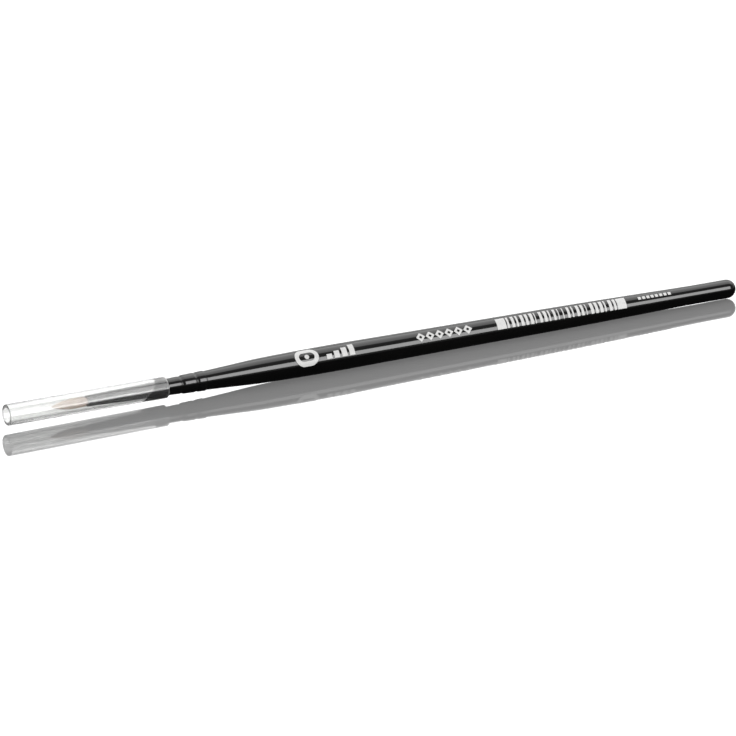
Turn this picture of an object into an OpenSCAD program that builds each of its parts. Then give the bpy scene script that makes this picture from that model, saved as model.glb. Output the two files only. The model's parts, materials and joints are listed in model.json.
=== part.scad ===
// Fine round brush for painting models: a lacquered wooden handle, a tapered and crimped ferrule,
// a pointed hair tuft and a clear tube that slides over the tuft to protect it.
// Millimetres. +X runs from the tube's open end to the butt of the handle, +Z is up, and the brush
// lies on its belly on Z = 0 with the origin under the middle of its length.

/* [Handle] */
// Diameter at the belly, the thickest place of the handle
belly_d = 6.72; // [6.2:0.02:7.4]
// Diameter of the handle where it leaves the ferrule
neck_d = 4.7; // [4.5:0.02:4.74]
// Diameter of the rounded butt
butt_d = 4.7; // [4.2:0.02:5]
// Length of the handle behind the ferrule
handle_len = 148; // [130:1:160]
// Thickness of the black lacquer
lacquer_t = 0.12; // [0.08:0.01:0.2]
// How much thicker the lacquer is at the butt, where its last drop dried
butt_drop = 0.05; // [0.02:0.01:0.1]

/* [Ferrule] */
// Length of the ferrule
ferrule_len = 32.2; // [30:0.1:36]
// Outer diameter at the mouth, where the hair comes out
mouth_d = 2.75; // [2.4:0.05:2.8]
// Outer diameter at the handle end
ferrule_end_d = 5.05; // [5:0.01:5.2]
// Thickness of the metal
ferrule_wall = 0.2; // [0.16:0.01:0.22]
// Depth of each rolled crimp
crimp_depth = 0.15; // [0.08:0.01:0.16]
// Half the width of each rolled crimp
crimp_half_w = 0.65; // [0.6:0.05:1]
// Distance of the front crimp from the handle end of the ferrule
front_crimp_back = 6.4; // [6:0.1:7.5]
// Distance of the rear crimp from the handle end of the ferrule
rear_crimp_back = 2.4; // [2:0.1:3.5]
// How far the metal steps out behind the front crimp
crimp_step = 0.12; // [0:0.01:0.14]

/* [Hair] */
// Length of the hair in front of the ferrule
hair_out = 9.8; // [8:0.1:11]
// Diameter of the tuft at its fullest place
hair_belly_d = 2.62; // [2.4:0.02:2.64]
// Length of the hair roots inside the ferrule
root_len = 12; // [11:0.5:14]

/* [Protective tube] */
// Length of the tube
tube_len = 43.5; // [42:0.5:46]
// Outer diameter of the tube
tube_d = 5.35; // [5.2:0.05:5.6]
// How far the tube reaches past the tip of the hair
tube_ahead = 12; // [10:0.5:14]
// Length at the tube's rear that grips the ferrule
tube_grip = 7; // [2:0.5:8]
// Radial clearance of the sliding fit on the ferrule
tube_clear = 0.02; // [0.01:0.01:0.05]

/* [Printing] */
// Direction that the white printing faces, in degrees above the horizon
print_up = 47; // [0:1:90]
// Thickness of the ink
ink_t = 0.04; // [0.03:0.01:0.06]

/* [Hidden] */
$fn = 96;

// Stations along the brush, measured from the tube's open end
hair_tip = tube_ahead;
mouth = hair_tip + hair_out;
ferrule_end = mouth + ferrule_len;
butt_end = ferrule_end + handle_len;
tube_end = tube_len;

// Gap between pieces that are bonded to each other
bond_gap = 0.01;

// The handle's outline: distance behind the ferrule as a share of the handle's length, and diameter.
// From the last of these stations to the round butt the handle is a plain cylinder.
handle_stations = [
    [0, neck_d], [0.045, neck_d + 0.68], [0.11, belly_d - 0.42], [0.243, belly_d],
    [0.36, belly_d - 0.25], [0.52, belly_d - 0.6], [0.68, belly_d - 0.94], [0.82, butt_d + 0.5],
    [0.935, butt_d]
];
steps_per_span = 6;
butt_start = ferrule_end + handle_stations[len(handle_stations) - 1][0] * handle_len;
butt_round = butt_end - butt_d / 2;

// The tenon at the front of the handle, inside the ferrule
tenon_len = 12;
tenon_chamfer = 0.5;
glue_t = 0.08;

// The hair roots, their thread and their resin
thread_d = 0.3;
thread_pitch = 0.36;
thread_turns = 4;
thread_from_mouth = 8.6;
root_r = mouth_d / 2 - ferrule_wall - 0.005;
root_waist = thread_d * 0.1;
resin_from_mouth = 6.5;
resin_behind = 1.6;

// The ball at the base of the tuft, on which it bends in the mouth of the ferrule
ball_r = 0.85;
ball_clear = 0.03;
root_below_mouth = 0.06;
tuft_above_mouth = 0.15;
tuft_r_at_mouth = mouth_d / 2 - ferrule_wall - 0.03;
tuft_tip_r = 0.04;
tuft_belly_at = 0.28;
tuft_roundness = 2.1;
tuft_steps = 18;

lip = 0.08;
tube_chamfer = 0.1;
// How far a cutting shape reaches past what it cuts
overcut = 1;

// ---- Outlines ----

// Slope of the handle's diameter at station i: level at the belly and where the butt's cylinder
// begins, and elsewhere the slope of the line through the stations on both sides
function station_slope(i) =
    let (last = len(handle_stations) - 1)
    let (a = handle_stations[max(i - 1, 0)], b = handle_stations[min(i + 1, last)])
    i == last || handle_stations[i][1] == belly_d ? 0 : (b[1] - a[1]) / (b[0] - a[0]);

// A smooth value between two stations, by a cubic
function blend(i, u) =
    let (p = handle_stations[i], q = handle_stations[i + 1], w = q[0] - p[0])
    (2 * u ^ 3 - 3 * u ^ 2 + 1) * p[1] + (u ^ 3 - 2 * u ^ 2 + u) * w * station_slope(i)
    + (3 * u ^ 2 - 2 * u ^ 3) * q[1] + (u ^ 3 - u ^ 2) * w * station_slope(i + 1);

// Points [distance from the tube's open end, radius] of the lacquered handle, without the round butt
handle_line = concat(
    [for (i = [0 : len(handle_stations) - 2], k = [0 : steps_per_span - 1])
        let (u = k / steps_per_span, p = handle_stations[i][0], q = handle_stations[i + 1][0])
        [ferrule_end + (p + (q - p) * u) * handle_len, blend(i, u) / 2]],
    [[butt_start, butt_d / 2], [butt_round, butt_d / 2]]
);

// Radius of the lacquered handle at a distance t
function handle_r(t) = lookup(t, handle_line);

// Thickness of the lacquer at a distance t
function lacquer_at(t) = lookup(t, [[butt_start, lacquer_t], [butt_round, lacquer_t + butt_drop]]);

// The handle's outline between the distances t0 and t1, with the gap given. It is the outline of the
// lacquer where skins is 0, and of what is under it where skins is 1.
function handle_points(t0, t1, skins, gap) = [
    for (t = concat(t0, [for (p = handle_line) if (p[0] > t0 && p[0] < t1) p[0]], t1))
        [handle_r(t) - skins * lacquer_at(t) - gap, t]
];

// Place of a distance t within the crimp that lies back from the ferrule's end, from -1 to 1
function in_crimp(t, back) = max(-1, min(1, (t - ferrule_end + back) / crimp_half_w));

// How far the crimps change the ferrule's radius at a distance t: two grooves, and a step at the first
function crimp_change(t) =
    let (front = in_crimp(t, front_crimp_back), rear = in_crimp(t, rear_crimp_back))
    crimp_step * (1 + sin(90 * front)) / 2
    - crimp_depth * ((1 + cos(180 * front)) / 2 + (1 + cos(180 * rear)) / 2);

// Outer radius of the ferrule at a distance t, and the radius of its bore there
function ferrule_r(t) =
    let (growth = (ferrule_end_d - mouth_d) / 2 - crimp_step)
    mouth_d / 2 + growth * (t - mouth) / ferrule_len + crimp_change(t);
function bore_r(t) = ferrule_r(t) - ferrule_wall;

// Distances at which the ferrule's outline needs a point between t0 and t1
crimp_steps = 12;
function ferrule_stops(t0, t1) = concat(
    [t0],
    [for (back = [front_crimp_back, rear_crimp_back], k = [-crimp_steps / 2 : crimp_steps / 2])
        let (t = ferrule_end - back + crimp_half_w * k * 2 / crimp_steps) if (t > t0 && t < t1) t],
    [t1]
);

function reversed(list) = [for (i = [len(list) - 1 : -1 : 0]) list[i]];

// A ring's outline between the ferrule's bore moved inwards by two amounts
function bore_ring(t0, t1, outer, inner) = concat(
    [for (t = ferrule_stops(t0, t1)) [bore_r(t) - inner, t]],
    reversed([for (t = ferrule_stops(t0, t1)) [bore_r(t) - outer, t]])
);

// Radius of the tuft at a share u of its length from the mouth to the tip
function tuft_r(u) = u < tuft_belly_at
    ? tuft_r_at_mouth + (hair_belly_d / 2 - tuft_r_at_mouth) * sin(90 * u / tuft_belly_at)
    : tuft_tip_r + (hair_belly_d / 2 - tuft_tip_r)
        * (1 - ((u - tuft_belly_at) / (1 - tuft_belly_at)) ^ tuft_roundness);

// ---- Placing ----

// Lays a piece that is turned about its own +Z along +X, with the belly on Z = 0
module lay_down() {
    translate([-butt_end / 2, 0, belly_d / 2])
        rotate([0, 90, 0])
            children();
}

module turned(points) {
    rotate_extrude() polygon(points);
}

// Flat artwork, drawn with x along the brush, as a film of ink on the handle from t0 to t1
module printed(t0, t1) {
    intersection() {
        turned(concat(
            handle_points(t0, t1, 0, -bond_gap),
            reversed(handle_points(t0, t1, 0, -bond_gap - ink_t))
        ));
        rotate([0, 0, 90 - print_up])
            rotate([0, -90, 0])
                linear_extrude(height = belly_d)
                    children();
    }
}

// ---- Handle ----

// Turned wood, with a tenon that the ferrule is glued and crimped on
module handle_core() {
    tenon_start = ferrule_end - tenon_len;
    tenon_gap = glue_t + bond_gap;
    tenon = [for (t = ferrule_stops(tenon_start + tenon_chamfer, ferrule_end)) [bore_r(t) - tenon_gap, t]];
    color("burlywood")
        lay_down()
            union() {
                turned(concat(
                    [[0, tenon_start], [bore_r(tenon_start) - tenon_gap - tenon_chamfer, tenon_start]],
                    tenon,
                    handle_points(ferrule_end + bond_gap, butt_round, 1, bond_gap),
                    [[0, butt_round]]
                ));
                translate([0, 0, butt_round]) sphere(r = butt_d / 2 - lacquer_at(butt_round) - bond_gap);
            }
}

// The black lacquer that covers the handle from the ferrule to the butt
module handle_lacquer() {
    start = ferrule_end + bond_gap;
    color("#0b0b0c")
        lay_down()
            difference() {
                union() {
                    turned(concat([[0, start]], handle_points(start, butt_round, 0, 0), [[0, butt_round]]));
                    translate([0, 0, butt_round]) sphere(r = butt_d / 2);
                }
                turned(concat(
                    [[0, start - overcut], [handle_r(start) - lacquer_t, start - overcut]],
                    handle_points(start, butt_round, 1, 0),
                    [[0, butt_round]]
                ));
                translate([0, 0, butt_round]) sphere(r = butt_d / 2 - lacquer_at(butt_round));
            }
}

// ---- Ferrule ----

// Seamless tapered tube with two rolled crimps and rounded lips
module ferrule() {
    outer = [for (t = ferrule_stops(mouth + lip, ferrule_end - lip)) [ferrule_r(t), t]];
    inner = [for (t = ferrule_stops(mouth + lip, ferrule_end - lip)) [bore_r(t), t]];
    color("#17171a")
        lay_down()
            turned(concat(
                [[bore_r(mouth) + lip, mouth], [ferrule_r(mouth) - lip, mouth]],
                outer,
                [[ferrule_r(ferrule_end) - lip, ferrule_end], [bore_r(ferrule_end) + lip, ferrule_end]],
                reversed(inner)
            ));
}

// Film of glue between the tenon and the ferrule
module ferrule_adhesive() {
    start = ferrule_end - tenon_len + 2 * tenon_chamfer;
    color("#d8c48a")
        lay_down()
            turned(bore_ring(start, ferrule_end - 2 * lip, bond_gap, glue_t));
}

// ---- Hair ----

// Turns of thread that tie the roots together, made thicker by extra
module thread_rings(extra) {
    for (k = [0 : thread_turns - 1])
        translate([0, 0, mouth + thread_from_mouth + k * thread_pitch])
            rotate_extrude()
                translate([root_r - root_waist + thread_d / 2, 0])
                    circle(d = thread_d + 2 * extra);
}

module binding_thread() {
    color("ivory")
        lay_down()
            thread_rings(0);
}

// Roots of the hair, squeezed by the mouth and by the thread
module hair_root() {
    color("#b98a63")
        lay_down()
            difference() {
                translate([0, 0, mouth + root_below_mouth])
                    cylinder(r = root_r, h = root_len - root_below_mouth);
                translate([0, 0, mouth]) sphere(r = ball_r + ball_clear);
                thread_rings(bond_gap);
            }
}

// Hard resin around and behind the roots
module resin_plug() {
    from = mouth + resin_from_mouth;
    to = mouth + root_len + resin_behind;
    color("#8a5a1e")
        lay_down()
            difference() {
                turned([[0, from], [bore_r(from) - bond_gap, from], [bore_r(to) - bond_gap, to], [0, to]]);
                translate([0, 0, from - overcut])
                    cylinder(r = root_r + bond_gap, h = mouth + root_len + bond_gap - from + overcut);
                thread_rings(bond_gap);
            }
}

// The tuft in front of the ferrule: a soft belly that draws to a point, on the ball it bends about
module hair_tuft() {
    u0 = tuft_above_mouth / hair_out;
    outline = [for (k = [0 : tuft_steps])
        let (u = u0 + (1 - u0) * k / tuft_steps)
        [tuft_r(u), mouth - u * hair_out]];
    color("#c8a184")
        lay_down()
            union() {
                turned(concat(outline, [[0, hair_tip], [0, mouth - tuft_above_mouth]]));
                translate([0, 0, mouth]) sphere(r = ball_r);
            }
}

// ---- Protective tube ----

// Clear soft tube, open at both ends, whose rear is stretched over the ferrule's taper
module protective_tube() {
    grip_start = tube_end - tube_grip;
    bore = ferrule_r(grip_start) + tube_clear;
    bore_end = ferrule_r(tube_end) + tube_clear;
    outer = tube_d / 2;
    color("gainsboro", 0.4)
        lay_down()
            turned([
                [bore + tube_chamfer, 0], [outer - tube_chamfer, 0], [outer, tube_chamfer],
                [outer, tube_end - tube_chamfer], [outer - tube_chamfer, tube_end],
                [bore_end, tube_end], [bore, grip_start], [bore, tube_chamfer]
            ]);
}

// ---- Printing ----

// An outline with straight sides and round ends, along the brush
module long_round(length, width) {
    straight = length - width;
    square([straight, width], center = true);
    for (side = [-1, 1])
        translate([side * straight / 2, 0])
            circle(d = width);
}

// A ring that is longer than it is wide, around a disc
module printed_emblem() {
    ring_w = 4.5;
    ring_len = 6.4;
    band = 1.1;
    disc_d = 1.2;
    middle = ferrule_end + 27.5;
    color("white")
        lay_down()
            printed(middle - ring_len, middle + ring_len)
                translate([middle, 0]) {
                    difference() {
                        long_round(ring_len, ring_w);
                        long_round(ring_len - 2 * band, ring_w - 2 * band);
                    }
                    circle(d = disc_d);
                }
}

// Bars that grow in height, for the brush's size
module printed_size_bars() {
    bars = 4;
    bar_w = 1.45;
    pitch = 2.1;
    low = 1.2;
    high = 2.9;
    start = ferrule_end + 32.8;
    color("white")
        lay_down()
            printed(start - pitch, start + bars * pitch)
                for (k = [0 : bars - 1])
                    translate([start + k * pitch, -high / 2])
                        square([bar_w, low + (high - low) * k / (bars - 1)]);
}

// A row of hollow lozenges
module printed_lozenges() {
    lozenges = 6;
    side = 1.75;
    hole = 0.65;
    pitch = 2.62;
    start = ferrule_end + 59.1;
    color("white")
        lay_down()
            printed(start - pitch, start + lozenges * pitch)
                for (k = [0 : lozenges - 1])
                    translate([start + k * pitch, 0])
                        rotate(45)
                            difference() {
                                square(side, center = true);
                                square(hole, center = true);
                            }
}

// A panel of stripes of varied width, with a broad one at each end; they stand for no code
module printed_stripes() {
    stripes = 24;
    stripe_w = 2.95;
    pitch = 1.3;
    narrow = 0.25;
    spread = 0.6;
    end_w = 2.5;
    start = ferrule_end + 80.3;
    length = stripes * pitch + 2 * end_w;
    color("white")
        lay_down()
            printed(start - pitch, start + length + pitch)
                translate([start, -stripe_w / 2]) {
                    square([end_w, stripe_w]);
                    translate([length - end_w, 0]) square([end_w, stripe_w]);
                    for (k = [0 : stripes - 1])
                        translate([end_w + (k + 0.25) * pitch, 0])
                            square([narrow + spread * (0.5 + sin(k * k * 47) / 2), stripe_w]);
                }
}

// A row of small squares near the butt
module printed_squares() {
    squares = 8;
    side = 0.8;
    pitch = 1.2;
    start = ferrule_end + 120.1;
    color("white")
        lay_down()
            printed(start - pitch, start + squares * pitch)
                for (k = [0 : squares - 1])
                    translate([start + k * pitch, 0])
                        square(side);
}

handle_core();
handle_lacquer();
ferrule();
ferrule_adhesive();
resin_plug();
binding_thread();
hair_root();
hair_tuft();
protective_tube();
printed_emblem();
printed_size_bars();
printed_lozenges();
printed_stripes();
printed_squares();
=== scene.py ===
"""Looks of a fine round brush with a clear protective tube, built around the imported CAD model.

Metres, in the frame of the CAD model: +X from the tube's open end to the butt, +Z up, floor at Z = 0.
"""

import json
import math
import random

import bmesh
import bpy
from mathutils import Matrix, Vector


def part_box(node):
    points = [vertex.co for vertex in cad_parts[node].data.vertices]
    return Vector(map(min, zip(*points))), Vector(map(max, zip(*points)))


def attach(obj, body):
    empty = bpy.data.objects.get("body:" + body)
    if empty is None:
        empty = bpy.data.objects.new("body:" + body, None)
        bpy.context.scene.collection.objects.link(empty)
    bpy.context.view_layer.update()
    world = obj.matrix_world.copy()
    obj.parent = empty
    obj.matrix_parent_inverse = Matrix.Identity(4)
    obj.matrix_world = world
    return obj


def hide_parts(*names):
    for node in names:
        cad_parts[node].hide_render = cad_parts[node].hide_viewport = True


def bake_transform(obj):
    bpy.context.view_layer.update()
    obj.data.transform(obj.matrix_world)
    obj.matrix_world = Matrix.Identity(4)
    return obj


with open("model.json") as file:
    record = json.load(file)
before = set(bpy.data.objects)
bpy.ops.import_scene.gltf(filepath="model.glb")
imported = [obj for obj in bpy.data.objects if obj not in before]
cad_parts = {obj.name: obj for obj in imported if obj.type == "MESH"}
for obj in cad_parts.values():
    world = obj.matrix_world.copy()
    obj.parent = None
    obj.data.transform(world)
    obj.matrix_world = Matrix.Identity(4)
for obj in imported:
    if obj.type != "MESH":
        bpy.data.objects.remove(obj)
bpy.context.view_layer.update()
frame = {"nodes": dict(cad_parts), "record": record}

MM = 0.001
SEED = 7
TURNED_SEGMENTS = 96
FERRULE_WALL = 0.2 * MM
# Length of the straight end of the handle, its round butt included
BUTT_LENGTH = 8 * MM

handle_low, handle_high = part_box("handle_lacquer")
ferrule_low, ferrule_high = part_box("ferrule")
tuft_low, tuft_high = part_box("hair_tuft")
tube_low, tube_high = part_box("protective_tube")
AXIS_Z = (handle_low.z + handle_high.z) / 2
MOUTH_X = ferrule_low.x
TIP_X = tuft_low.x


# ---- Outlines, read from the CAD nodes ----


def skin(node, side):
    """Sorted points (x, r) of the outer surface (side 1) or the inner one (side -1) of a turned node."""
    found = {}
    mesh = frame["nodes"][node].data
    for face in mesh.polygons:
        outwards = Vector((0, face.center.y, face.center.z - AXIS_Z)).normalized()
        if side * face.normal.dot(outwards) > 0.3:
            for i in face.vertices:
                v = mesh.vertices[i].co
                found[round(v.x, 6)] = math.hypot(v.y, v.z - AXIS_Z)
    return sorted(found.items())


def between(points, low, high):
    return [p for p in points if low < p[0] < high]


def smoothed(points, step):
    """Points (x, r) every step or so on a smooth curve through the given ones, with no overshoot."""
    last = len(points) - 1
    rises = [(b[1] - a[1]) / (b[0] - a[0]) for a, b in zip(points, points[1:])]
    slopes = [rises[0]]
    for before, after in zip(rises, rises[1:]):
        slopes.append(2 * before * after / (before + after) if before * after > 0 else 0.0)
    slopes.append(rises[-1])
    out = []
    for i in range(last):
        (x0, r0), (x1, r1) = points[i], points[i + 1]
        width = x1 - x0
        count = max(1, math.ceil(width / step))
        for k in range(count):
            u = k / count
            rise = (2 * u**3 - 3 * u**2 + 1) * r0 + (3 * u**2 - 2 * u**3) * r1
            lean = (u**3 - 2 * u**2 + u) * slopes[i] + (u**3 - u**2) * slopes[i + 1]
            out.append((x0 + width * u, rise + lean * width))
    return out + [points[-1]]


def arc(centre, radius, start, end, steps):
    """Points of an arc in the (x, r) plane; start and end are degrees from +x towards +r."""
    out = []
    for k in range(steps + 1):
        a = math.radians(start + (end - start) * k / steps)
        out.append((centre[0] + radius * math.cos(a), centre[1] + radius * math.sin(a)))
    return out


def radius_at(line, x):
    """Radius of a line of points (x, r) at x, by straight lines between the points."""
    if x <= line[0][0]:
        return line[0][1]
    for (x0, r0), (x1, r1) in zip(line, line[1:]):
        if x <= x1:
            return r0 + (r1 - r0) * (x - x0) / (x1 - x0)
    return line[-1][1]


# ---- Meshes ----


def new_object(name, vertices, faces):
    """A mesh object with its normals outwards, shaded smooth up to 35 degrees."""
    mesh = bpy.data.meshes.new(name)
    mesh.from_pydata(vertices, [], faces)
    work = bmesh.new()
    work.from_mesh(mesh)
    bmesh.ops.recalc_face_normals(work, faces=work.faces)
    work.to_mesh(mesh)
    work.free()
    mesh.shade_smooth()
    mesh.set_sharp_from_angle(angle=math.radians(35))
    made = bpy.data.objects.new(name, mesh)
    bpy.context.scene.collection.objects.link(made)
    return made


def turned(name, outline, segments=TURNED_SEGMENTS):
    """A turned piece with this closed outline of points (x, r); a point on the axis has r = 0."""
    vertices, loops, faces = [], [], []
    for x, r in outline:
        count = 1 if r < 1e-9 else segments
        loops.append([len(vertices) + k for k in range(count)])
        for k in range(count):
            a = 2 * math.pi * k / segments
            vertices.append((x, r * math.cos(a), AXIS_Z + r * math.sin(a)))
    for a, b in zip(loops, loops[1:] + loops[:1]):
        if len(a) == 1 and len(b) == 1:
            continue
        for k in range(segments):
            n = (k + 1) % segments
            if len(a) == 1:
                faces.append((a[0], b[k], b[n]))
            elif len(b) == 1:
                faces.append((a[k], b[0], a[n]))
            else:
                faces.append((a[k], b[k], b[n], a[n]))
    return new_object(name, vertices, faces)


# ---- Materials ----


class Shader:
    """A node material with a few short calls."""

    def __init__(self, name):
        self.material = bpy.data.materials.new(name)
        self.material.use_nodes = True
        self.tree = self.material.node_tree
        self.bsdf = self.tree.nodes["Principled BSDF"]
        self.output = self.tree.nodes["Material Output"]

    def add(self, kind, settings=None, **inputs):
        """A new node. settings are its properties; an input is a value or another node's socket."""
        node = self.tree.nodes.new(kind)
        for key, value in (settings or {}).items():
            setattr(node, key, value)
        for key, value in inputs.items():
            self.put(node, key, value)
        return node

    def put(self, node, key, value):
        """Sets or links one input, named with _ in place of spaces, or by number as _0, _1."""
        socket = node.inputs[int(key[1:]) if key[1:].isdigit() else key.replace("_", " ")]
        if isinstance(value, bpy.types.NodeSocket):
            self.tree.links.new(value, socket)
        else:
            socket.default_value = value

    def principled(self, **inputs):
        for key, value in inputs.items():
            self.put(self.bsdf, key, value)

    def place(self, stretch=(1, 1, 1)):
        """Object coordinates in metres, stretched."""
        source = self.add("ShaderNodeTexCoord").outputs["Object"]
        return self.add("ShaderNodeMapping", Vector=source, Scale=stretch).outputs["Vector"]

    def noise(self, vector, scale, detail=3.0, roughness=0.5):
        made = self.add(
            "ShaderNodeTexNoise", Vector=vector, Scale=scale, Detail=detail, Roughness=roughness
        )
        return made.outputs["Fac"]

    def ramp(self, factor, stops):
        """A colour ramp; stops are (position, colour), a colour being one number or three."""
        made = self.add("ShaderNodeValToRGB", Fac=factor)
        elements = made.color_ramp.elements
        while len(elements) < len(stops):
            elements.new(0.5)
        for element, (position, colour) in zip(elements, stops):
            element.position = position
            rgb = colour if isinstance(colour, tuple) else (colour,) * 3
            element.color = (*rgb, 1)
        return made.outputs["Color"]

    def span(self, factor, low, high):
        """The factor, 0 to 1, as a value from low to high."""
        made = self.add("ShaderNodeMapRange", Value=factor, To_Min=low, To_Max=high)
        return made.outputs["Result"]

    def bump(self, height, distance, strength=1.0, normal=None):
        made = self.add("ShaderNodeBump", Height=height, Distance=distance, Strength=strength)
        if normal is not None:
            self.put(made, "Normal", normal)
        return made.outputs["Normal"]


def lacquer_material():
    """Deep gloss black lacquer: a faint orange peel, and fine dust and handling in its gloss."""
    s = Shader("black_lacquer")
    place = s.place((1, 1.6, 1.6))
    peel = s.noise(place, 420, 2)
    dust = s.noise(place, 5200, 2, 0.7)
    wear = s.noise(s.place((1, 3, 3)), 55, 4, 0.6)
    colour = s.ramp(wear, [(0.3, (0.0008, 0.0008, 0.0009)), (0.75, (0.0022, 0.0021, 0.002))])
    s.principled(
        Base_Color=colour,
        Roughness=s.span(wear, 0.05, 0.13),
        IOR=1.45,
        Normal=s.bump(dust, 2e-7, 0.25, s.bump(peel, 4e-6, 0.3)),
    )
    return s.material


def ferrule_material():
    """Gloss black on drawn metal: fine rings from spinning show faintly through the finish."""
    s = Shader("black_metal")
    rings_around = s.noise(s.place((1, 0.03, 0.03)), 9000, 3, 0.65)
    wear = s.noise(s.place(), 320, 4, 0.6)
    colour = s.ramp(wear, [(0.35, (0.0015, 0.0015, 0.0017)), (0.8, (0.004, 0.0038, 0.0036))])
    s.principled(
        Base_Color=colour,
        Roughness=s.span(wear, 0.06, 0.14),
        IOR=1.45,
        Normal=s.bump(rings_around, 2e-6, 0.35),
    )
    return s.material


def tube_material():
    """Clear soft plastic with a slight milky haze and faint lengthwise lines from extrusion."""
    s = Shader("clear_plastic")
    lines = s.noise(s.place((0.015, 1, 1)), 1800, 2, 0.5)
    haze = s.noise(s.place((0.4, 1, 1)), 260, 4, 0.6)
    cut = s.add("ShaderNodeAttribute", {"attribute_name": "cut"}).outputs["Fac"]
    rough = s.add("ShaderNodeMix", Factor=cut, A=s.span(haze, 0.1, 0.16), B=0.6).outputs[0]
    s.principled(
        Base_Color=s.ramp(haze, [(0.2, (0.885, 0.89, 0.88)), (0.8, (0.92, 0.925, 0.915))]),
        Roughness=rough,
        IOR=1.3,
        Transmission_Weight=1.0,
        Coat_Weight=1.0,
        Coat_Roughness=0.21,
        Coat_IOR=1.7,
        Normal=s.bump(lines, 1e-6, 0.2),
    )
    return s.material


def hair_material():
    """Fine tan hair: each strand has its own shade, darker at the root and paler towards the tip, where
    the paleness is a painted glow of light through the thin tips.
    """
    s = Shader("hair")
    shade = s.add("ShaderNodeAttribute", {"attribute_name": "shade"}).outputs["Fac"]
    along = s.add("ShaderNodeAttribute", {"attribute_name": "along"}).outputs["Fac"]
    lengthwise = s.noise(s.place((0.05, 1, 1)), 14000, 2)
    browns = [(0.0, (0.17, 0.125, 0.098)), (0.5, (0.32, 0.25, 0.205)), (1.0, (0.5, 0.41, 0.345))]
    # Along a strand: darker at the root, then paler up to past white at the tip, a painted glow of light
    # shining through the thin tips.
    root_dark_tip_glow = [(0.0, (0.55, 0.48, 0.44)), (0.35, (0.95, 0.93, 0.9)), (1.0, (1.25, 1.25, 1.25))]
    tinted = s.add("ShaderNodeMix", {"data_type": "RGBA", "blend_type": "MULTIPLY"}, Factor=1.0)
    s.put(tinted, "_6", s.ramp(shade, browns))
    s.put(tinted, "_7", s.ramp(along, root_dark_tip_glow))
    s.principled(
        Base_Color=tinted.outputs[2],
        Roughness=s.span(shade, 0.3, 0.45),
        IOR=1.55,
        Sheen_Weight=0.15,
        Sheen_Roughness=0.4,
        Normal=s.bump(lengthwise, 3e-6, 0.3),
    )
    return s.material


def ink_material():
    """White printed ink: satin, a little uneven where it was pressed on."""
    s = Shader("white_ink")
    spread = s.noise(s.place(), 2600, 4, 0.6)
    s.principled(
        Base_Color=s.ramp(spread, [(0.25, (0.78, 0.78, 0.77)), (0.6, (0.88, 0.88, 0.87))]),
        Roughness=s.span(spread, 0.3, 0.5),
        Normal=s.bump(spread, 3e-6, 0.3),
    )
    return s.material


def wood_material():
    """Turned birch, its grain along the handle."""
    s = Shader("wood")
    grain = s.noise(s.place((0.06, 1, 1)), 1900, 5, 0.6)
    band = s.noise(s.place((0.02, 1, 1)), 420, 2)
    pale = s.ramp(grain, [(0.3, (0.52, 0.36, 0.2)), (0.7, (0.74, 0.57, 0.38))])
    tone = s.ramp(band, [(0.3, 0.85), (0.7, 1.0)])
    tinted = s.add("ShaderNodeMix", {"data_type": "RGBA", "blend_type": "MULTIPLY"}, Factor=1.0)
    s.put(tinted, "_6", pale)
    s.put(tinted, "_7", tone)
    s.principled(
        Base_Color=tinted.outputs[2],
        Roughness=s.span(grain, 0.5, 0.7),
        Normal=s.bump(grain, 2e-5, 0.4),
    )
    return s.material


def set_liquid_material(name, dark, pale, rough):
    """A set resin or glue: amber, with clouds of small bubbles."""
    s = Shader(name)
    cloud = s.noise(s.place(), 900, 4, 0.6)
    s.principled(
        Base_Color=s.ramp(cloud, [(0.3, dark), (0.7, pale)]),
        Roughness=s.span(cloud, rough, rough + 0.15),
        Transmission_Weight=0.35,
        Normal=s.bump(cloud, 1e-5, 0.3),
    )
    return s.material


def thread_material():
    """Waxed cotton, its plies slanting round the thread."""
    s = Shader("thread")
    wave = s.add(
        "ShaderNodeTexWave", {"bands_direction": "DIAGONAL"}, Vector=s.place(), Scale=2600, Distortion=2.0
    ).outputs["Fac"]
    s.principled(
        Base_Color=s.ramp(wave, [(0.1, (0.6, 0.55, 0.46)), (0.8, (0.82, 0.79, 0.71))]),
        Roughness=0.7,
        Sheen_Weight=0.3,
        Normal=s.bump(wave, 2e-5, 0.6),
    )
    return s.material


MATERIALS = {
    "black_lacquer": lacquer_material(),
    "black_metal": ferrule_material(),
    "clear_plastic": tube_material(),
    "hair": hair_material(),
    "white_ink": ink_material(),
    "wood": wood_material(),
    "resin": set_liquid_material("resin", (0.2, 0.09, 0.02), (0.42, 0.24, 0.08), 0.12),
    "adhesive": set_liquid_material("adhesive", (0.6, 0.5, 0.3), (0.78, 0.7, 0.5), 0.2),
    "thread": thread_material(),
}


def finished(piece, slot, body, *nodes):
    """Gives a new piece its material and its body, and hides the CAD nodes that it stands for."""
    piece.data.materials.clear()
    piece.data.materials.append(MATERIALS[slot])
    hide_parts(*nodes)
    if body:
        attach(piece, body)
    return piece


# ---- Handle and ferrule ----


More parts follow.
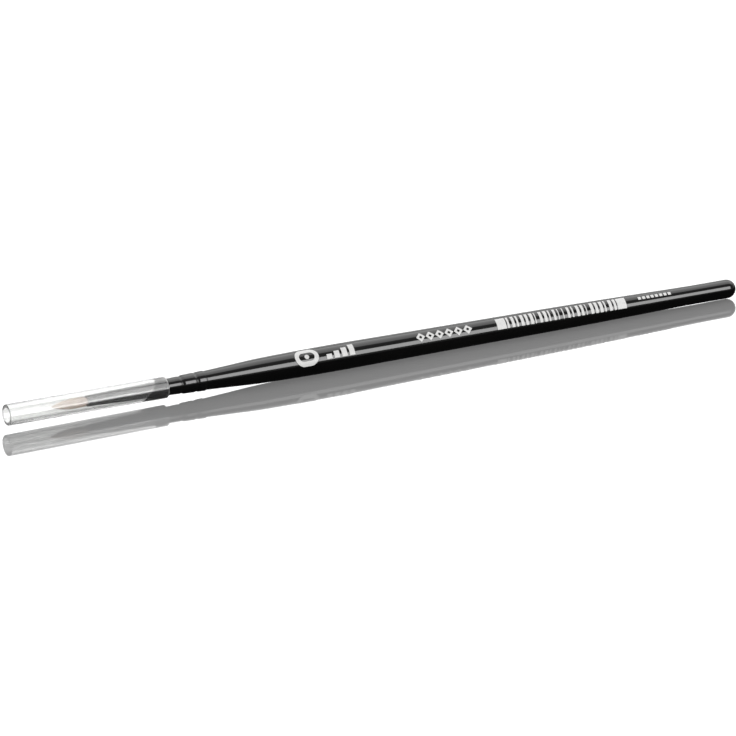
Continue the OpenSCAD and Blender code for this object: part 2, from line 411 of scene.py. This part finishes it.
def lacquered_handle():
    """The lacquer as a closed shell, with a rounded edge at the ferrule and a round butt."""
    edge = 0.06 * MM
    start = handle_low.x
    line, under = skin("handle_lacquer", 1), skin("handle_lacquer", -1)
    butt_r = radius_at(line, handle_high.x - BUTT_LENGTH)
    butt_x = handle_high.x - butt_r
    inner_r = radius_at(under, butt_x)
    line = [(start, line[0][1])] + between(line, start + MM, butt_x - MM) + [(butt_x, butt_r)]
    under = [(start, under[0][1])] + between(under, start + MM, butt_x - MM) + [(butt_x, inner_r)]
    line, under = smoothed(line, 0.8 * MM), smoothed(under, 2 * MM)
    outline = arc((start + edge, line[0][1] - edge), edge, 180, 90, 3)
    outline += between(line, start + edge, butt_x)
    outline += arc((butt_x, 0), butt_r, 90, 0, 20)
    outline += arc((butt_x, 0), inner_r, 0, 90, 12)
    outline += reversed(under[:-1])
    piece = turned("lacquered_handle", outline)
    return finished(piece, "black_lacquer", "brush", "handle_lacquer")


def ferrule_shell():
    """The drawn ferrule with its two rolled crimps and its rolled lips."""
    ends = (ferrule_low.x + FERRULE_WALL / 2, ferrule_high.x - FERRULE_WALL / 2)
    walls = []
    for side in (1, -1):
        points = skin("ferrule", side)
        inside = between(points, ends[0] + 0.02 * MM, ends[1] - 0.02 * MM)
        closed = [(x, radius_at(points, x)) for x in ends]
        walls.append(smoothed([closed[0]] + inside + [closed[1]], 0.4 * MM))
    outer, inner = walls
    half = FERRULE_WALL / 2
    outline = arc((outer[0][0], outer[0][1] - half), half, 270, 90, 8)[:-1] + outer
    outline += arc((outer[-1][0], outer[-1][1] - half), half, 90, -90, 8)[1:-1] + inner[:0:-1]
    piece = turned("ferrule_shell", outline)
    return finished(piece, "black_metal", "brush", "ferrule")


# ---- Protective tube ----


# The soft tube clings to the rear of the ferrule with no film of air. There its bore is drawn this
# much inside the ferrule's surface, over the CAD model's clearance.
TUBE_CLEARANCE = 0.02 * MM
CLING = 0.005 * MM
# How far the line where it starts to cling runs back from the underside to the top
CLING_SLANT = 3.5 * MM
# Length over which it comes to cling
CLING_FADE = 0.5 * MM
GRIP_RINGS = 24


def cling(piece, start, outer_r):
    """Draws in the bore behind a slanting line that begins at start on the underside."""
    for v in piece.data.vertices:
        y, z = v.co.y, v.co.z - AXIS_Z
        r = math.hypot(y, z)
        if v.co.x > start + 1e-7 and r < 0.85 * outer_r:
            u = (v.co.x - start - CLING_SLANT * (1 + z / r) / 2) / CLING_FADE
            u = min(1.0, max(0.0, u))
            drawn = 1 - (TUBE_CLEARANCE + CLING) * u * u * (3 - 2 * u) / r
            v.co.y, v.co.z = y * drawn, AXIS_Z + z * drawn


def clear_tube():
    """The tube with cut ends whose edges are softened and frosted, clinging to the ferrule."""
    soft = 0.14 * MM
    bore = skin("protective_tube", -1)
    outer_r = (tube_high.z - tube_low.z) / 2
    bore_r, rear_r = bore[1][1], bore[-1][1]
    grip_x = max(x for x, r in bore if r < bore_r + 0.001 * MM)
    lip_x = tube_high.x - soft
    outline = arc((tube_low.x + soft, bore_r + soft), soft, 270, 180, 5)
    outline += arc((tube_low.x + soft, outer_r - soft), soft, 180, 90, 5)
    outline += arc((lip_x, outer_r - soft), soft, 90, 0, 5)
    outline += arc((lip_x, rear_r + soft), soft, 0, -90, 5)
    for k in range(1, GRIP_RINGS + 1):
        u = k / GRIP_RINGS
        outline.append((lip_x + (grip_x - lip_x) * u, rear_r + (bore_r - rear_r) * u))
    piece = turned("clear_tube", outline, 128)
    cling(piece, grip_x, outer_r)
    ends = (tube_low.x + soft / 2, tube_high.x - soft / 2)
    cuts = [0.0 if ends[0] < v.co.x < ends[1] else 1.0 for v in piece.data.vertices]
    piece.data.attributes.new("cut", "FLOAT", "POINT").data.foreach_set("value", cuts)
    piece.visible_shadow = False
    return finished(piece, "clear_plastic", "tube", "protective_tube")


# ---- Hair ----

STRAND_SIDES = 5
STRAND_STEPS = 15
STRAND_R = 0.037 * MM
# How far the strands start inside the ferrule
STRAND_ROOT = 0.5 * MM
# How much of its thickness a strand loses by its tip
STRAND_TAPER = 0.86
# Layers of the tuft from the outside inwards: share of the tuft's radius, and number of strands
LAYERS = [(1.0, 132), (0.86, 104), (0.66, 70), (0.42, 36), (0.16, 10)]


def tuft_line():
    """The tuft's outline from the mouth to the tip, as (share of its length, radius)."""
    length = MOUTH_X - TIP_X
    return sorted(((MOUTH_X - x) / length, r) for x, r in skin("hair_tuft", 1) if x < MOUTH_X)


def strand_traits(rnd, layer, share, count, k):
    """How strand k of its layer lies, as strand_rings reads it, and its shade."""
    around = 2 * math.pi * (k + rnd.uniform(-0.3, 0.3)) / count
    twist = rnd.gauss(0, 0.05)
    spread = share * rnd.uniform(0.97, 1.0) if layer else 1.0 - rnd.random() * 0.02
    reach = 1.0 - abs(rnd.gauss(0, 0.05)) - (0 if layer else 0.02)
    thick = STRAND_R * rnd.uniform(0.8, 1.15)
    wave, phase = rnd.gauss(0, 0.02 * MM), rnd.uniform(0, 6.3)
    shade = min(1, max(0, rnd.gauss(0.5, 0.22)))
    return (around, twist, spread, reach, thick, wave, phase), shade


def strand_rings(line, length, traits):
    """Rings of points along a strand, each with how far along it lies, 0 at the mouth and 1 at its tip."""
    around, twist, spread, reach, thick, wave, phase = traits
    start = -STRAND_ROOT / length
    rings = []
    for i in range(STRAND_STEPS + 1):
        u = start + (reach - start) * i / STRAND_STEPS
        level = max(0.0, min(1.0, u / reach))
        r = max(radius_at(line, max(u, 0.0)) * spread - thick, 0)
        a = around + twist * level
        y = r * math.cos(a) + wave * math.sin(5 * level + phase) * level
        z = r * math.sin(a) + wave * math.cos(4 * level + phase) * level + AXIS_Z
        half = thick * (1 - STRAND_TAPER * level**3)
        turns = [2 * math.pi * side / STRAND_SIDES + a for side in range(STRAND_SIDES)]
        x = MOUTH_X - u * length
        rings.append((level, [(x, y + half * math.cos(b), z + half * math.sin(b)) for b in turns]))
    return rings


def rod_faces(first, rings, sides):
    """Faces of a closed rod whose rings of vertices follow one another from the index first."""
    faces = []
    for i in range(rings - 1):
        a, b = first + i * sides, first + (i + 1) * sides
        for side in range(sides):
            n = (side + 1) % sides
            faces.append((a + side, a + n, b + n, b + side))
    end = first + (rings - 1) * sides
    faces.append(tuple(first + side for side in range(sides)))
    faces.append(tuple(end + side for side in reversed(range(sides))))
    return faces


def hair():
    """Hundreds of separate strands that leave the ferrule together, belly out and meet in a point."""
    rnd = random.Random(SEED)
    line = tuft_line()
    length = MOUTH_X - TIP_X
    vertices, faces, shades, places = [], [], [], []
    for layer, (share, count) in enumerate(LAYERS):
        for k in range(count):
            traits, shade = strand_traits(rnd, layer, share, count, k)
            rings = strand_rings(line, length, traits)
            faces += rod_faces(len(vertices), len(rings), STRAND_SIDES)
            for level, ring in rings:
                vertices += ring
                shades += [shade] * STRAND_SIDES
                places += [level] * STRAND_SIDES
    piece = new_object("hair_strands", vertices, faces)
    for name, values in (("shade", shades), ("along", places)):
        piece.data.attributes.new(name, "FLOAT", "POINT").data.foreach_set("value", values)
    finished(piece, "hair", None, "hair_tuft")
    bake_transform(piece)
    return piece


# ---- Pieces carried over from CAD ----


def dress_cad_nodes():
    for entry in frame["record"]["subparts"]:
        node = frame["nodes"][entry["node"]]
        node.data.materials.clear()
        node.data.materials.append(MATERIALS[entry["material_slot"]])


# ---- Stage ----

AZIMUTH = -26.6
ELEVATION = 20.55
LENS = 1200
SENSOR = 36
VIEW_WIDTH = 0.1826
# What the camera aims at, from the brush's middle: to the right and up in the picture
AIM = (-0.00126, -0.00425)


def camera():
    """A very long lens, so that the view is nearly parallel."""
    a, e = math.radians(AZIMUTH), math.radians(ELEVATION)
    back = Vector((math.sin(a) * math.cos(e), -math.cos(a) * math.cos(e), math.sin(e)))
    right = Vector((math.cos(a), math.sin(a), 0))
    up = back.cross(right)
    target = Vector((0, 0, AXIS_Z)) + right * AIM[0] + up * AIM[1]
    data = bpy.data.cameras.new("camera")
    data.lens = LENS
    data.sensor_width = SENSOR
    data.clip_start, data.clip_end = 0.1, 200
    made = bpy.data.objects.new("camera", data)
    made.location = target + back * (VIEW_WIDTH * LENS / SENSOR)
    made.rotation_mode = "QUATERNION"
    made.rotation_quaternion = (-back).to_track_quat("-Z", "Y")
    bpy.context.scene.collection.objects.link(made)
    bpy.context.scene.camera = made


def group(name, objects):
    made = bpy.data.collections.new(name)
    for o in objects:
        made.objects.link(o)
    return made


def softbox(name, centre, facing, size, radiance, receivers, blockers=None):
    """A rectangular light that faces a point, reaches the receivers only and is shaded by the blockers."""
    data = bpy.data.lights.new(name, "AREA")
    data.shape = "RECTANGLE"
    data.size, data.size_y = size
    data.energy = radiance * math.pi * size[0] * size[1]
    made = bpy.data.objects.new(name, data)
    made.location = centre
    made.rotation_mode = "QUATERNION"
    z = (Vector(centre) - Vector(facing)).normalized()
    x = Vector((1, 0, 0)) if abs(z.z) > 0.9 or abs(z.x) < 0.3 else Vector((-z.y, z.x, 0))
    x = (x - z * x.dot(z)).normalized()
    made.rotation_quaternion = Matrix((x, z.cross(x), z)).transposed().to_quaternion()
    bpy.context.scene.collection.objects.link(made)
    made.light_linking.receiver_collection = receivers
    if blockers:
        made.light_linking.blocker_collection = blockers


FLOOR_CARDS = 6
# The handle lies on the floor at these two places behind its belly
TOUCHES = (6 * MM, 54 * MM)


def floor_material():
    """Pale glossy acrylic. Gloss mirrors it as a painted dark reflection, and as a painted grey for
    reflected rays that have passed twice through the tube, and the clear tube shows it as pale.
    """
    s = Shader("floor_acrylic")
    s.principled(Base_Color=(0.085, 0.085, 0.085, 1), Roughness=0.045, IOR=1.7)
    # Painted reflections: a reflected ray sees the floor near black, or grey after two passes through the
    # tube, unlike its lit colour.
    painted_dark_reflection = s.add("ShaderNodeBsdfDiffuse", Color=(0.014, 0.014, 0.014, 1)).outputs[0]
    pale = s.add("ShaderNodeBsdfDiffuse", Color=(0.27, 0.27, 0.27, 1)).outputs[0]
    painted_grey_in_wall = s.add("ShaderNodeBsdfDiffuse", Color=(0.25, 0.25, 0.25, 1)).outputs[0]
    ray = s.add("ShaderNodeLightPath").outputs
    in_wall = s.add(
        "ShaderNodeMath", {"operation": "COMPARE"}, _0=ray["Transmission Depth"], _1=2.0, _2=0.5
    ).outputs[0]
    clear = s.add("ShaderNodeMixShader", _0=ray["Is Transmission Ray"], _1=s.bsdf.outputs[0], _2=pale)
    bounced = s.add("ShaderNodeMixShader", _0=in_wall, _1=painted_dark_reflection, _2=painted_grey_in_wall)
    chosen = s.add(
        "ShaderNodeMixShader", _0=ray["Glossy Depth"], _1=clear.outputs[0], _2=bounced.outputs[0]
    )
    s.put(s.output, "Surface", chosen.outputs[0])
    return s.material


def floor():
    """A plane that leans with the brush, which lies on its belly and its thinner rear half."""
    line = skin("handle_lacquer", 1)
    (x0, z0), (x1, z1) = [(x, AXIS_Z - radius_at(line, x)) for x in TOUCHES]
    lean = math.atan2(z1 - z0, x1 - x0)
    bpy.ops.mesh.primitive_plane_add(size=8, location=(x0, 0, z0), rotation=(0, -lean, 0))
    made = bpy.context.object
    made.name = "floor"
    made.data.materials.append(floor_material())
    return made


def white_surroundings():
    """A studio that is pale behind the brush and above it, and dimmer low in front."""
    world = bpy.data.worlds.new("studio")
    bpy.context.scene.world = world
    world.use_nodes = True
    tree = world.node_tree
    place = tree.nodes.new("ShaderNodeTexCoord")
    split = tree.nodes.new("ShaderNodeSeparateXYZ")
    depth = tree.nodes.new("ShaderNodeMapRange")
    depth.interpolation_type = "SMOOTHSTEP"
    for name, value in (("From Min", -0.4), ("From Max", 0.5), ("To Min", 0.35), ("To Max", 1.2)):
        depth.inputs[name].default_value = value
    tree.links.new(place.outputs["Generated"], split.inputs["Vector"])
    tree.links.new(split.outputs["Y"], depth.inputs["Value"])
    tree.links.new(depth.outputs["Result"], tree.nodes["Background"].inputs["Strength"])
    tree.nodes["Background"].inputs["Color"].default_value = (1, 1, 1, 1)


# Softboxes: what they light, centre, point faced, size and radiance. The clear tube and the ink have
# their own, so that the tube shows a soft glare and the ink isn't burnt out.
STRIP = ((0.265, -0.515, 0.31), (0.265, 0, 0), (0.42, 0.344))
OVERHEAD = ((0.3, 0.44, 0.8), (0.3, 0.44, 0), (2.2, 1.1))
SOFTBOXES = {
    "strip": ("brush", *STRIP, 9),
    "strip_on_tube": ("tube", (0.265, -0.592, 0.12), (0.265, 0, 0), (0.6, 0.24), 4.1),
    "glow_on_tube": ("tube", (0.265, -0.42, 0.44), (0.265, 0, 0), (0.7, 0.5), 2.1),
    "strip_on_ink": ("ink", *STRIP, 4.4),
    "overhead": ("brush", *OVERHEAD, 1.9),
    "overhead_on_tube": ("tube", *OVERHEAD, 1.4),
}


def wearing(slot):
    """The pieces that have this material slot's material."""
    chosen = MATERIALS[slot]
    return [o for o in bpy.context.scene.objects if o.type == "MESH" and chosen in o.data.materials[:]]


def floor_lights(lit):
    """A panel above the floor and a ring of cards round it, which light nothing else."""
    softbox("floor_fill", (0, 0, 1.5), (0, 0, 0), (3, 3), 3, lit, lit)
    for k in range(FLOOR_CARDS):
        a = math.radians(AZIMUTH + 90 + 360 * k / FLOOR_CARDS)
        centre = (3 * math.cos(a), 3 * math.sin(a), 1.2)
        softbox(f"floor_card_{k}", centre, (0, 0, 0), (1.9, 2.2), 4.2, lit, lit)


def stage():
    tube, ink = wearing("clear_plastic"), wearing("white_ink")
    others = [o for o in bpy.context.scene.objects if o.type == "MESH" and o not in tube + ink]
    lit = {
        "brush": group("lit_brush", others),
        "tube": group("lit_tube", tube),
        "ink": group("lit_ink", ink),
        "floor": group("lit_floor", [floor()]),
    }
    for name, (target, centre, facing, size, radiance) in SOFTBOXES.items():
        softbox(name, centre, facing, size, radiance, lit[target])
    floor_lights(lit["floor"])
    white_surroundings()
    bpy.context.scene.view_settings.view_transform = "Standard"


dress_cad_nodes()
lacquered_handle()
ferrule_shell()
clear_tube()
hair()
camera()
stage()
